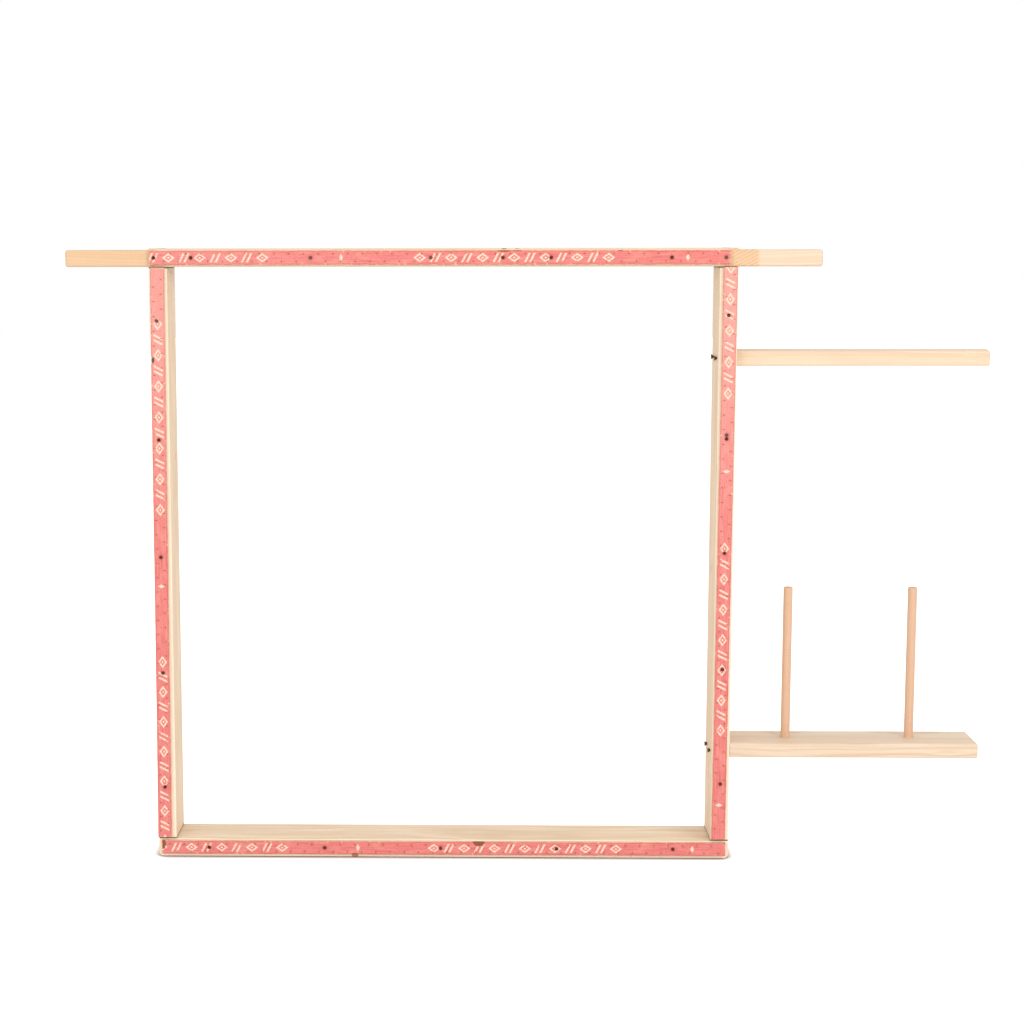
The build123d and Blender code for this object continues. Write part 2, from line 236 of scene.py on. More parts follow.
    blend = add(tree, "Math", {0: latewood, 1: 0.75 * grain}, operation="MULTIPLY")
    if slanted:
        steep = add(tree, "Math", {0: inside, 1: latewood}, operation="MULTIPLY")
        blend = add(tree, "Math", {0: steep, 1: 0.6, 2: blend}, operation="MULTIPLY_ADD")
    wood = add(tree, "Mix", {0: blend, 1: srgb(early), 2: srgb(late)}, data_type="RGBA")
    wood = add(tree, "Mix", {0: patch, 1: wood, 2: srgb("CFB294")}, data_type="RGBA")
    fine = add(tree, "MapRange", {0: fibres.outputs["Fac"], 1: 0.3, 2: 0.75,
                                  3: 1 + 0.05 * grain, 4: 1 - 0.1 * grain})
    wood = add(tree, "VectorMath", {0: wood, "Scale": fine}, operation="SCALE")
    wood = add(tree, "VectorMath", {0: wood, "Scale": line}, operation="SCALE")

    # Painted light: the front-facing faces are mixed towards pale cream, to lift the narrow margins
    # beside the strips out of the shade of the strips' edges.
    facing = add(tree, "VectorMath", {0: coords.outputs["Normal"], 1: (0.0, -1.0, 0.0)},
                 operation="DOT_PRODUCT")
    front_light_share = add(tree, "MapRange", {0: facing.outputs["Value"], 1: 0.6, 2: 0.85, 3: 0.0, 4: front_painted_light})
    wood = add(tree, "Mix", {0: front_light_share, 1: wood, 2: srgb("FAF0E2")}, data_type="RGBA")
    for first, last, strength in yellow:
        apart = add(tree, "Math", {0: spread.outputs["X"], 1: (first + last) / 2},
                    operation="SUBTRACT")
        apart = add(tree, "Math", {0: apart}, operation="ABSOLUTE")
        half, soft = (last - first) / 2, 5.0
        here = add(tree, "MapRange", {0: apart, 1: half - soft, 2: half + soft,
                                      3: strength, 4: 0.0}, interpolation_type="SMOOTHSTEP")
        here = add(tree, "Math", {0: here, 1: near_front}, operation="MULTIPLY")
        wood = add(tree, "Mix", {0: here, 1: wood, 2: srgb("F6E6CF")}, data_type="RGBA",
                   blend_type="MULTIPLY")

    # A dark band where the stiles' cut ends meet the rails: painted shadow in the joints, with some
    # dirt.
    for joint in (31.0, 1031.0):
        near = add(tree, "Math", {0: spread.outputs["Z"], 1: joint}, operation="SUBTRACT")
        near = add(tree, "Math", {0: near}, operation="ABSOLUTE")
        joint_shadow_band = add(tree, "MapRange", {0: near, 1: 1.3, 2: 3.2, 3: joints, 4: 0.0},
                    interpolation_type="SMOOTHSTEP")
        wood = add(tree, "Mix", {0: joint_shadow_band, 1: wood, 2: srgb("3E2418")}, data_type="RGBA")

    # End grain drinks up dirt: darker, with the rings standing out.
    facing = add(tree, "Mapping", {"Vector": coords.outputs["Normal"], "Rotation": (0, turn, 0)},
                 vector_type="NORMAL")
    facing = add(tree, "VectorMath", {0: facing, 1: (1.0, 0.0, 0.0)}, operation="DOT_PRODUCT")
    facing = add(tree, "Math", {0: facing.outputs["Value"]}, operation="ABSOLUTE")
    end = add(tree, "MapRange", {0: facing, 1: 0.6, 2: 0.85, 3: 0.0, 4: 1.0})
    end_rings = add(tree, "Mix", {0: latewood, 1: srgb("D3B692"), 2: srgb("B48E66")},
                    data_type="RGBA")
    wood = add(tree, "Mix", {0: end, 1: wood, 2: end_rings}, data_type="RGBA")
    for heart in hearts:
        brown = add(tree, "Mix", {0: within, 1: srgb("B98A5E"), 2: srgb("8A5B3C")},
                    data_type="RGBA")
        share = add(tree, "Math", {0: heart, 1: 0.85}, operation="MULTIPLY")
        wood = add(tree, "Mix", {0: share, 1: wood, 2: brown}, data_type="RGBA")
    tree.links.new(next(out for out in wood.outputs if out.enabled), shader.inputs["Base Color"])

    # Planing leaves hard latewood lines a hair proud of the soft earlywood.
    height = add(tree, "Math", {0: latewood, 1: 0.5, 2: fibres.outputs["Fac"]},
                 operation="MULTIPLY_ADD")
    bump = add(tree, "Bump", {"Height": height, "Strength": 0.35, "Distance": 0.00012})
    tree.links.new(bump.outputs["Normal"], shader.inputs["Normal"])
    sheen = add(tree, "MapRange", {0: latewood, 1: 0.0, 2: 1.0, 3: 0.62, 4: 0.5})
    tree.links.new(sheen.outputs["Result"], shader.inputs["Roughness"])
    shader.inputs["IOR"].default_value = 1.5
    shader.inputs["Specular IOR Level"].default_value = 0.35
    return material


def finish_node(node, material):
    """Gives a CAD part that keeps its own shape its material."""
    nodes[node].data.materials.clear()
    nodes[node].data.materials.append(material)


finish_node("bottom_rail", pine(
    "planed_pine_bottom_rail", 0.0, (130.0, -14.0, -92.0), 6.5,
    knots=[((-154.5, -49.0, 2.0), (16.0, 30.0, 12.0), 0.4, 9.0)], front_painted_light=0.6,
))

# ---------------------------------------------------------------- Stiles
# Two shorter pine planks stand on the bottom rail, cut square at both ends. Their inner
# faces show straight grain running up.
finish_node("left_stile", pine(
    "planed_pine_left_stile", math.pi / 2, (60.0, 10.0, 560.0), 5.5,
    knots=[((-469.0, 20.0, 700.0), (26.0, 18.0, 60.0), 0.14, 12.0)], grain=0.7, front_painted_light=0.6,
    joints=1.0,
))
finish_node("right_stile", pine(
    "planed_pine_right_stile", math.pi / 2, (210.0, -20.0, -395.0), 6.0,
    knots=[((469.0, 8.0, 505.0), (26.0, 16.0, 52.0), 0.14, 12.0)], grain=0.7, front_painted_light=0.6,
    joints=1.0,
))

# ---------------------------------------------------------------- Top rail
# One long pine plank across the stiles, planed down a little outside them into two arms.
# Its grain runs up steeply past a knot just outside the right stile.
finish_node("top_rail", pine(
    "planed_pine_top_rail", 0.0, (0.0, 35.0, 1180.0), 7.5,
    knots=[
        ((104.0, -48.0, 1063.0), (16.0, 12.0, 8.0), 0.42, 10.0),
        ((126.0, -48.0, 1063.0), (13.0, 12.0, 7.0), 0.42, 8.0),
    ],
    early="DDC9B4", mottle=0.3, grain=0.55, yellow=[(-700.0, -488.0, 0.9), (484.0, 534.0, 0.75)],
    slanted=(484.0, 534.0),
))

# ---------------------------------------------------------------- Corner screws
# Long wood screws, black from their phosphate bath, go through the rails into the stiles'
# end grain. They have a bugle head with a cross recess.


def solids_of(node):
    """The low and high corners of each separate solid of a CAD node."""
    cad = bmesh.new()
    cad.from_mesh(nodes[node].data)
    bmesh.ops.remove_doubles(cad, verts=cad.verts, dist=1e-6)
    left = set(cad.verts)
    boxes = []
    while left:
        island = [left.pop()]
        for vert in island:
            for edge in vert.link_edges:
                other = edge.other_vert(vert)
                if other in left:
                    left.remove(other)
                    island.append(other)
        low = Vector([min(v.co[i] for v in island) for i in range(3)])
        high = Vector([max(v.co[i] for v in island) for i in range(3)])
        boxes.append((low, high))
    cad.free()
    return sorted(boxes, key=lambda box: tuple(round(c, 5) for c in box[0]))


def next_ring(mesh, rim):
    """Extrudes a closed ring of edges in place. Returns the new ring's corners and edges."""
    made = bmesh.ops.extrude_edge_only(mesh, edges=rim)["geom"]
    verts = [part for part in made if isinstance(part, bmesh.types.BMVert)]
    edges = [part for part in made if isinstance(part, bmesh.types.BMEdge)
             and all(vert in verts for vert in part.verts)]
    return verts, edges


def draw_down(mesh, rim, rings):
    """Extrudes a ring of edges round Z through (radius, height) steps; a zero radius
    closes it to a point."""
    for radius, height in rings:
        verts, rim = next_ring(mesh, rim)
        for vert in verts:
            flat = Vector((vert.co.x, vert.co.y, 0))
            vert.co = flat.normalized() * radius + Vector((0, 0, height))
        if radius == 0:
            bmesh.ops.pointmerge(mesh, verts=verts, merge_co=Vector((0, 0, height)))


def wood_screw(mesh, head_centre, heading, length):
    """One screw in millimetres, put at head_centre with its point along heading."""
    first = len(mesh.verts)
    rim = bmesh.ops.create_circle(mesh, segments=28, radius=4.2)["verts"]
    outer = list({edge for vert in rim for edge in vert.link_edges})
    # The cross recess: an outline of twelve corners, drawn down to a blunt bottom.
    arm, half = 2.3, 0.5
    cross = [(arm, half), (half, half), (half, arm)]
    corners = [Matrix.Rotation(math.pi / 2 * i, 2) @ Vector(c) for i in range(4) for c in cross]
    inner = [mesh.verts.new((*c, 0)) for c in corners]
    walls = [mesh.edges.new((inner[i - 1], inner[i])) for i in range(12)]
    bmesh.ops.triangle_fill(mesh, use_beauty=True, use_dissolve=False, edges=outer + walls)
    for depth, share in ((-1.1, 0.72), (-1.9, 0.4)):
        lower, walls = next_ring(mesh, walls)
        for vert in lower:
            vert.co = Vector((vert.co.x * share, vert.co.y * share, depth))
    bmesh.ops.contextual_create(mesh, geom=walls)
    # The head's rounded rim, its bugle flare, the shank, and the point.
    draw_down(mesh, outer, [
        (4.5, -0.25), (4.5, -0.75), (3.75, -1.6), (2.95, -2.7), (2.3, -4.0), (2.0, -5.4),
        (1.85, -9.0), (1.85, 8.0 - length), (0.7, 2.0 - length), (0.0, -length),
    ])
    # The thread: a ridge with a sharp crest, wound round the lower part of the shank.
    start = -0.3 * length
    pitch, steps = 2.6, 12
    root, crest = 1.6, 2.2
    turns = int((0.7 * length - 8.0) / pitch)
    outline = ((root, 0, start), (crest, 0, start - 0.5), (root, 0, start - 1.1))
    ridge = [mesh.verts.new(corner) for corner in outline]
    ridge_face = mesh.faces.new(ridge)
    bmesh.ops.spin(mesh, geom=[ridge_face], cent=(0, 0, 0), axis=(0, 0, 1),
                   dvec=(0, 0, -pitch / steps), angle=math.tau * turns, steps=steps * turns)
    mesh.verts.ensure_lookup_table()
    made = mesh.verts[first:]
    facing = heading.to_track_quat("-Z", "Y").to_matrix().to_4x4()
    bmesh.ops.transform(mesh, verts=made,
                        matrix=Matrix.Translation(head_centre) @ facing @ Matrix.Scale(MM, 4))


def put_in_place(name, mesh, material, replaced, smooth_below=35.0):
    """Turns a finished bmesh into a piece that rides on the frame and stands for CAD nodes.
    Edges that turn by less than smooth_below, in degrees, are shaded smooth."""
    bmesh.ops.recalc_face_normals(mesh, faces=mesh.faces)
    for face in mesh.faces:
        face.smooth = True
    for edge in mesh.edges:
        if len(edge.link_faces) == 2:
            edge.smooth = edge.calc_face_angle() < math.radians(smooth_below)
    piece = bpy.data.objects.new(name, bpy.data.meshes.new(name))
    mesh.to_mesh(piece.data)
    mesh.free()
    piece.data.materials.append(material)
    bpy.context.scene.collection.objects.link(piece)
    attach(piece, "frame")
    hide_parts(*replaced)


# Black phosphated steel: a dark, slightly brown crystal coat over metal, worn to bare
# steel in small specks on the head.
black_steel = bpy.data.materials.new("black_phosphated_steel")
black_steel.use_nodes = True
tree = black_steel.node_tree
shader = tree.nodes["Principled BSDF"]
coords = add(tree, "TexCoord")
grit = add(tree, "TexNoise", {"Vector": coords.outputs["Object"], "Scale": 1400.0, "Detail": 3.0})
coat = add(tree, "Mix", {0: grit.outputs["Fac"], 1: srgb("3C2920"), 2: srgb("6C4E3A")},
           data_type="RGBA")
rub = add(tree, "TexNoise", {"Vector": coords.outputs["Object"], "Scale": 420.0, "Detail": 4.0})
bare = add(tree, "MapRange", {0: rub.outputs["Fac"], 1: 0.62, 2: 0.7, 3: 0.0, 4: 0.7})
steel = add(tree, "Mix", {0: bare, 1: coat, 2: srgb("B0A294")}, data_type="RGBA")
tree.links.new(steel.outputs[2], shader.inputs["Base Color"])
dull = add(tree, "MapRange", {0: grit.outputs["Fac"], 1: 0.3, 2: 0.7, 3: 0.42, 4: 0.6})
tree.links.new(dull.outputs["Result"], shader.inputs["Roughness"])
crust = add(tree, "Bump", {"Height": grit.outputs["Fac"], "Strength": 0.3, "Distance": 0.00008})
tree.links.new(crust.outputs["Normal"], shader.inputs["Normal"])
shader.inputs["Metallic"].default_value = 0.35

for level, heading in (("top", Vector((0, 0, -1))), ("bottom", Vector((0, 0, 1)))):
    for side in ("left", "right"):
        node = f"corner_screws_{level}_{side}"
        mesh = bmesh.new()
        for low, high in solids_of(node):
            head = (low + high) / 2
            head.z = high.z if level == "top" else low.z
            wood_screw(mesh, head, heading, (high.z - low.z) / MM)
        put_in_place(f"long_screws_{level}_{side}", mesh, black_steel, [node])

# ---------------------------------------------------------------- Gripper strips
# Carpet gripper: 24 mm strips of thin plywood, sawn to width, printed salmon pink on the
# face with a row of cream marks left unprinted, and nailed round the front of the frame.
MARK_PERIOD = 586.0         # from one printed row of marks to the next
MARK_ROW = 346.0
MARK_CELL = 26.6
MARK_DART = 466.0           # a single small mark between the rows

printed_ply = bpy.data.materials.new("printed_gripper_plywood")
printed_ply.use_nodes = True
tree = printed_ply.node_tree
shader = tree.nodes["Principled BSDF"]
coords = add(tree, "TexCoord")
along = add(tree, "Attribute", attribute_name="along").outputs["Fac"]
across = add(tree, "Attribute", attribute_name="across").outputs["Fac"]
depth = add(tree, "Attribute", attribute_name="depth").outputs["Fac"]
bruise = add(tree, "Attribute", attribute_name="bruise").outputs["Fac"]
chipped = add(tree, "Attribute", attribute_name="chipped").outputs["Fac"]
ink_paleness = add(tree, "Attribute", attribute_name="ink_paleness").outputs["Fac"]
knot = add(tree, "Attribute", attribute_name="knot").outputs["Fac"]
on_strip = add(tree, "CombineXYZ", {0: along, 1: depth, 2: across})

# Plywood: rotary-cut veneer on the face, and three layers on the sawn edges, the middle
# one end grain and darker.
veneer_at = add(tree, "VectorMath", {0: on_strip, 1: (0.02, 0.6, 0.55)}, operation="MULTIPLY")
veneer = add(tree, "TexNoise", {"Vector": veneer_at, "Scale": 1.0, "Detail": 5.0,
                                "Roughness": 0.6, "Distortion": 0.3})
ply = add(tree, "Mix", {0: veneer.outputs["Fac"], 1: srgb("EFDCC4"), 2: srgb("CDA67E")},
          data_type="RGBA")
layer = add(tree, "Math", {0: depth, 1: 3.25}, operation="SUBTRACT")
layer = add(tree, "Math", {0: layer}, operation="ABSOLUTE")
middle = add(tree, "MapRange", {0: layer, 1: 0.95, 2: 1.15, 3: 1.0, 4: 0.0})
edge_wood = add(tree, "Mix", {0: middle, 1: srgb("DEC2A0"), 2: srgb("B08A66")}, data_type="RGBA")
facing = add(tree, "VectorMath", {0: coords.outputs["Normal"], 1: (0.0, -1.0, 0.0)},
             operation="DOT_PRODUCT").outputs["Value"]
on_face = add(tree, "MapRange", {0: facing, 1: 0.6, 2: 0.85, 3: 0.0, 4: 1.0})
bare_wood = add(tree, "Mix", {0: on_face, 1: edge_wood, 2: ply}, data_type="RGBA")

# The ink: thin, so that the veneer's grain shows through as darker lines, paler in rubbed patches,
# and paler towards the starting end of each strip.
tone = add(tree, "MapRange", {0: veneer.outputs["Fac"], 1: 0.36, 2: 0.66, 3: 0.0, 4: 1.0})
ink = add(tree, "Mix", {0: tone, 1: srgb("DE8580"), 2: srgb("CC6664")}, data_type="RGBA")
ink = add(tree, "Mix", {0: ink_paleness, 1: ink, 2: srgb("E2A098")}, data_type="RGBA")
blotch_at = add(tree, "VectorMath", {0: on_strip, 1: (0.03, 0.1, 0.12)}, operation="MULTIPLY")
blotch = add(tree, "TexNoise", {"Vector": blotch_at, "Scale": 1.0, "Detail": 3.0})
pale = add(tree, "MapRange", {0: blotch.outputs["Fac"], 1: 0.5, 2: 0.75, 3: 0.0, 4: 0.4})
ink = add(tree, "Mix", {0: pale, 1: ink, 2: srgb("E3A394")}, data_type="RGBA")
pore_at = add(tree, "VectorMath", {0: on_strip, 1: (0.22, 1.0, 1.3)}, operation="MULTIPLY")
pores = add(tree, "TexNoise", {"Vector": pore_at, "Scale": 1.0, "Detail": 2.0})
pore = add(tree, "MapRange", {0: pores.outputs["Fac"], 1: 0.58, 2: 0.7, 3: 0.0, 4: 0.75})
ink = add(tree, "Mix", {0: pore, 1: ink, 2: srgb("9C4843")}, data_type="RGBA")

# The marks: along each row, hollow diamonds and pairs of slashes by turns, 15 mm tall,
# with a small solid diamond between the rows.
phase = add(tree, "Math", {0: along, 1: MARK_PERIOD}, operation="FLOORED_MODULO")
in_row = add(tree, "Math", {0: phase, 1: MARK_ROW}, operation="LESS_THAN")
cell = add(tree, "Math", {0: phase, 1: MARK_CELL}, operation="FLOORED_MODULO")
cell = add(tree, "Math", {0: cell, 1: MARK_CELL / 2}, operation="SUBTRACT")
number = add(tree, "Math", {0: phase, 1: 2 * MARK_CELL}, operation="FLOORED_MODULO")
odd = add(tree, "Math", {0: number, 1: MARK_CELL}, operation="GREATER_THAN")
beside = add(tree, "Math", {0: cell}, operation="ABSOLUTE")
above = add(tree, "Math", {0: across}, operation="ABSOLUTE")
leg = add(tree, "Math", {0: beside, 1: 0.72, 2: above}, operation="MULTIPLY_ADD")
ring = add(tree, "Math", {0: leg, 1: 6.2, 2: 1.65}, operation="COMPARE")
heart = add(tree, "Math", {0: leg, 1: 1.8}, operation="LESS_THAN")
diamond = add(tree, "Math", {0: ring, 1: heart}, operation="MAXIMUM")
slant = add(tree, "Math", {0: across, 1: -0.5, 2: cell}, operation="MULTIPLY_ADD")
slant = add(tree, "Math", {0: slant}, operation="ABSOLUTE")
slash = add(tree, "Math", {0: slant, 1: 4.3, 2: 1.75}, operation="COMPARE")
short = add(tree, "Math", {0: above, 1: 7.6}, operation="LESS_THAN")
slash = add(tree, "Math", {0: slash, 1: short}, operation="MULTIPLY")
figure = add(tree, "Mix", {0: odd, 1: diamond, 2: slash}, data_type="FLOAT")
figure = add(tree, "Math", {0: figure, 1: in_row}, operation="MULTIPLY")
past = add(tree, "Math", {0: phase, 1: MARK_DART}, operation="SUBTRACT")
past = add(tree, "Math", {0: past}, operation="ABSOLUTE")
dart = add(tree, "Math", {0: past, 1: 1.9, 2: above}, operation="MULTIPLY_ADD")
dart = add(tree, "Math", {0: dart, 1: 6.4}, operation="LESS_THAN")
marks = add(tree, "Math", {0: figure, 1: dart}, operation="MAXIMUM")
worn_at = add(tree, "VectorMath", {0: on_strip, 1: (0.35, 0.5, 0.5)}, operation="MULTIPLY")
worn = add(tree, "TexNoise", {"Vector": worn_at, "Scale": 1.0, "Detail": 3.0})
kept = add(tree, "MapRange", {0: worn.outputs["Fac"], 1: 0.32, 2: 0.5, 3: 0.15, 4: 1.0})
marks = add(tree, "Math", {0: marks, 1: kept}, operation="MULTIPLY")
face = add(tree, "Mix", {0: marks, 1: ink, 2: srgb("E6D0BC")}, data_type="RGBA")

# The ink stops a little short of the edges, unevenly, and it is gone where the wood chipped.
ragged_at = add(tree, "VectorMath", {0: on_strip, 1: (0.09, 0.0, 0.2)}, operation="MULTIPLY")
ragged = add(tree, "TexNoise", {"Vector": ragged_at, "Scale": 1.0, "Detail": 3.0})
border = add(tree, "Math", {0: ragged.outputs["Fac"], 1: 1.8, 2: above}, operation="MULTIPLY_ADD")
# A darker band just inside the ink's edges: partly ink built up there, partly painted shade along
# the line where the strip's edge meets the timber.
ink_edge_and_shade = add(tree, "MapRange", {0: border, 1: 10.8, 2: 12.2, 3: 0.0, 4: 0.75})
face = add(tree, "Mix", {0: ink_edge_and_shade, 1: face, 2: srgb("B4544F")}, data_type="RGBA")
inked = add(tree, "MapRange", {0: border, 1: 12.3, 2: 12.7, 3: 1.0, 4: 0.0})
whole = add(tree, "Math", {0: 1.0, 1: chipped}, operation="SUBTRACT", use_clamp=True)
inked = add(tree, "Math", {0: inked, 1: whole}, operation="MULTIPLY")
inked = add(tree, "Math", {0: inked, 1: on_face}, operation="MULTIPLY")
colour = add(tree, "Mix", {0: inked, 1: bare_wood, 2: face}, data_type="RGBA")
stain = add(tree, "Math", {0: bruise, 1: 0.75}, operation="MULTIPLY", use_clamp=True)
colour = add(tree, "Mix", {0: stain, 1: colour, 2: srgb("7C4038")}, data_type="RGBA")
resin = add(tree, "Mix", {0: worn.outputs["Fac"], 1: srgb("9A5B36"), 2: srgb("6E3420")},
            data_type="RGBA")
colour = add(tree, "Mix", {0: knot, 1: colour, 2: resin}, data_type="RGBA")
tree.links.new(next(out for out in colour.outputs if out.enabled), shader.inputs["Base Color"])
relief = add(tree, "Math", {0: pore, 1: -0.8, 2: veneer.outputs["Fac"]},
             operation="MULTIPLY_ADD")
relief = add(tree, "Bump", {"Height": relief, "Strength": 0.4, "Distance": 0.0002})
tree.links.new(relief.outputs["Normal"], shader.inputs["Normal"])
satin = add(tree, "MapRange", {0: inked, 1: 0.0, 2: 1.0, 3: 0.8, 4: 0.55})
tree.links.new(satin.outputs["Result"], shader.inputs["Roughness"])
shader.inputs["IOR"].default_value = 1.5
shader.inputs["Specular IOR Level"].default_value = 0.3

# Where each strip's first whole row of marks starts, along its own length from the frame's origin,
# how much paler the ink is at its start, and how crooked it was nailed: the sideways shift of its
# middle and the slope. The paleness is gone by the middle.
STRIPS = {
    "top": (Vector((1, 0, 0)), Vector((0, 0, 1)), -52.0, 0.15, (0.0, 0.0)),
    "bottom": (Vector((1, 0, 0)), Vector((0, 0, 1)), -29.0, 0.0, (0.0, 0.0)),
    "left": (Vector((0, 0, -1)), Vector((1, 0, 0)), -948.0, 0.6, (0.3, -0.0036)),
    "right": (Vector((0, 0, -1)), Vector((1, 0, 0)), -563.0, 0.75, (0.0, -0.0046)),
}
# Brown knots that the saw cut through at a strip's edge: place along, place across, half
# length and half width.
STRIP_KNOTS = {
    "bottom": [(63.0, 12.5, 9.5, 8.0), (-491.0, 6.0, 3.0, 9.0), (-154.5, -13.0, 5.5, 3.5)],
    "top": [(104.0, 13.0, 11.0, 3.4), (126.0, 13.0, 8.0, 2.6), (300.0, 12.5, 4.0, 2.0)],
}
# Every vertex asks for its strip's box, so each is looked up once.
strip_boxes = {where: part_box(f"gripper_strip_{where}") for where in STRIPS}


def crooked(where, spot):
    """How far the strip's crookedness moves a point of it, as a vector."""
    lengthways, sideways, _, _, (shift, slope) = STRIPS[where]
    low, high = strip_boxes[where]
    return sideways * (shift * MM + slope * (spot - (low + high) / 2).dot(lengthways))


def slanting_screw():
    """The head's centre and the heading of the stray screw in the left strip's edge."""
    turn = math.radians(60.0)
    reach = 4.5 * MM            # the head's radius
    low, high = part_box("edge_screw")
    head = Vector((low.x + reach * math.cos(turn), low.y + reach * math.sin(turn),
                   (low.z + high.z) / 2))
    return head + crooked("left", head), Vector((math.sin(turn), math.cos(turn), 0))


def gripper_strip(where):
    """One strip's mesh: sawn, chipped, dished by its nails, and carrying its print's layout."""
    lengthways, sideways, first_mark, start_paleness, _ = STRIPS[where]
    low, high = strip_boxes[where]
    centre = (low + high) / 2
    size = high - low
    length = abs(size.dot(lengthways)) / MM
    width = abs(size.dot(sideways)) / MM
    thick = size.y / MM
    mesh = bmesh.new()
    bmesh.ops.create_cube(mesh, size=1.0)
    bmesh.ops.scale(mesh, verts=mesh.verts, vec=(length, thick, width))
    front = [edge for edge in mesh.edges if all(vert.co.y < 0 for vert in edge.verts)]
    bmesh.ops.bevel(mesh, geom=front, offset=0.6, offset_type="OFFSET", segments=2, profile=0.5,
                    affect="EDGES", clamp_overlap=True, material=-1)
    for axis, step in ((0, 1.6), (2, 1.5), (1, 1.3)):
        longest = [edge for edge in mesh.edges
                   if abs((edge.verts[0].co - edge.verts[1].co)[axis]) > 2 * step
                   and abs((edge.verts[0].co - edge.verts[1].co).normalized()[axis]) > 0.99]
        if longest:
            cuts = int(longest[0].calc_length() / step)
            bmesh.ops.subdivide_edges(mesh, edges=longest, cuts=cuts, use_grid_fill=True)

    # Each nail or pin: its place, how far its mark reaches, how deep and how dark it is.
    nail_spots = []
    for node, mark in ((f"strip_nails_{where}", (4.6, 0.32, 0.5)),
                       (f"gripper_pins_{where}", (1.5, -0.22, 0.3))):
        for first, last in solids_of(node):
            spot = ((first + last) / 2 - centre) / MM
            nail_spots.append((spot.dot(lengthways), spot.dot(sideways), *mark))
    nail_spots.sort()

    layers = {name: mesh.verts.layers.float.new(name)
              for name in ("along", "across", "depth", "bruise", "chipped", "ink_paleness", "knot")}
    seed = {"top": 3.0, "bottom": 17.0, "left": 31.0, "right": 53.0}[where]
    start = centre.dot(lengthways) / MM
    half = width / 2
    for vert in mesh.verts:
        x, y, z = vert.co
        vert[layers["along"]] = start + x - first_mark
        vert[layers["across"]] = z
        vert[layers["depth"]] = y + thick / 2
        vert[layers["ink_paleness"]] = start_paleness * min(1.0, max(0.0, 1.25 - 2.5 * (0.5 + x / length)))
        # The saw wandered along both edges, and splinters broke out of the arrises.
        rim = (abs(z) / half) ** 6
        saw = 0.45 * noise.noise((x / 42.0, seed, 1.0 if z > 0 else 5.0))
        torn = noise.noise((x / 5.0, seed + 9.0, 2.0 if z > 0 else 6.0)) - 0.42
        tear = max(0.0, torn) * 2.6 * max(0.0, 1.0 - (y + thick / 2) / 2.5)
        vert.co.z += math.copysign(rim * (saw - tear), z) if abs(z) > 0.1 else 0.0
        ends = max(0.0, 1.0 - (length / 2 - abs(x)) / 6.0)
        ragged_end = 0.7 * noise.noise((z / 3.0, y / 2.0, seed + (2.0 if x > 0 else 7.0)))
        vert.co.x -= math.copysign(max(0.0, ragged_end) * ends ** 3, x)
        broken = rim * max(0.0, torn) * 9.0 + ends ** 4 * max(0.0, ragged_end) * 2.0
        vert[layers["chipped"]] = min(1.0, broken)
        if y < -thick / 2 + 0.7:
            vert.co.y += 0.14 * noise.noise((x / 55.0, z / 16.0, seed))
    # Hammer blows dish the face round each nail, and each pin bursts up a few fibres.
    on_front = sorted((v for v in mesh.verts if v.co.y < -thick / 2 + 0.9),
                      key=lambda v: v.co.x)
    for where_along, where_across, reach, deep, dark in nail_spots:
        for vert in on_front:
            if vert.co.x < where_along - 3 * reach:
                continue
            if vert.co.x > where_along + 3 * reach:
                break
            away = math.hypot(vert.co.x - where_along, vert.co.z - where_across) / reach
            if away < 3:
                dent = math.exp(-away * away)
                vert.co.y += deep * dent
                vert[layers["bruise"]] = max(vert[layers["bruise"]], dent * dark)
    for knot_along, knot_across, knot_long, knot_wide in STRIP_KNOTS.get(where, ()):
        for vert in on_front:
            away = math.hypot((vert.co.x + start - knot_along) / knot_long,
                              (vert.co.z - knot_across) / knot_wide)
            if away < 1.15:
                vert[layers["knot"]] = max(vert[layers["knot"]], min(1.0, (1.15 - away) * 7))
                vert.co.y += 0.5 * max(0.0, 1 - away)
    turned = Matrix((lengthways, (0, 1, 0), sideways)).transposed().to_4x4()
    bmesh.ops.transform(mesh, verts=mesh.verts,
                        matrix=Matrix.Translation(centre) @ turned @ Matrix.Scale(MM, 4))
    for vert in mesh.verts:
        vert.co += crooked(where, vert.co)
    if where == "left":
        # The stray screw's head crushed its way into the edge and left a steep-sided crater.
        head, heading = slanting_screw()
        floor_radius, rim_radius, sunk_by = 5.2, 6.8, 0.6
        for vert in mesh.verts:
            rel = vert.co - head
            sunk = rel.dot(heading)
            away = (rel - heading * sunk).length / MM
            wanted = (sunk_by - max(0.0, away - floor_radius) * 4.0) * MM
            if away < rim_radius and sunk < wanted:
                vert.co += heading * (wanted - sunk)
                vert[layers["bruise"]] = 1.2 if away < 5.8 else 0.5
    return mesh


for where in STRIPS:
    put_in_place(f"printed_strip_{where}", gripper_strip(where), printed_ply,
                 [f"gripper_strip_{where}"])

# ---------------------------------------------------------------- Gripper pins
# Short wire pins, driven through the strips from behind in two staggered rows. Their
# sharp tips stand 4.5 mm out of the face and lean away from the window, to hold cloth.
# The drawn steel wire has taken a thin bloom of red rust.
pin_steel = bpy.data.materials.new("rust_bloomed_wire_steel")
pin_steel.use_nodes = True
tree = pin_steel.node_tree
shader = tree.nodes["Principled BSDF"]
coords = add(tree, "TexCoord")
tarnish = add(tree, "TexNoise", {"Vector": coords.outputs["Object"], "Scale": 260.0, "Detail": 3.0})
wire = add(tree, "Mix", {0: tarnish.outputs["Fac"], 1: srgb("C08070"), 2: srgb("8A4C40")},
           data_type="RGBA")
tree.links.new(wire.outputs[2], shader.inputs["Base Color"])
polish = add(tree, "MapRange", {0: tarnish.outputs["Fac"], 1: 0.3, 2: 0.7, 3: 0.3, 4: 0.5})
tree.links.new(polish.outputs["Result"], shader.inputs["Roughness"])
shader.inputs["Metallic"].default_value = 0.6

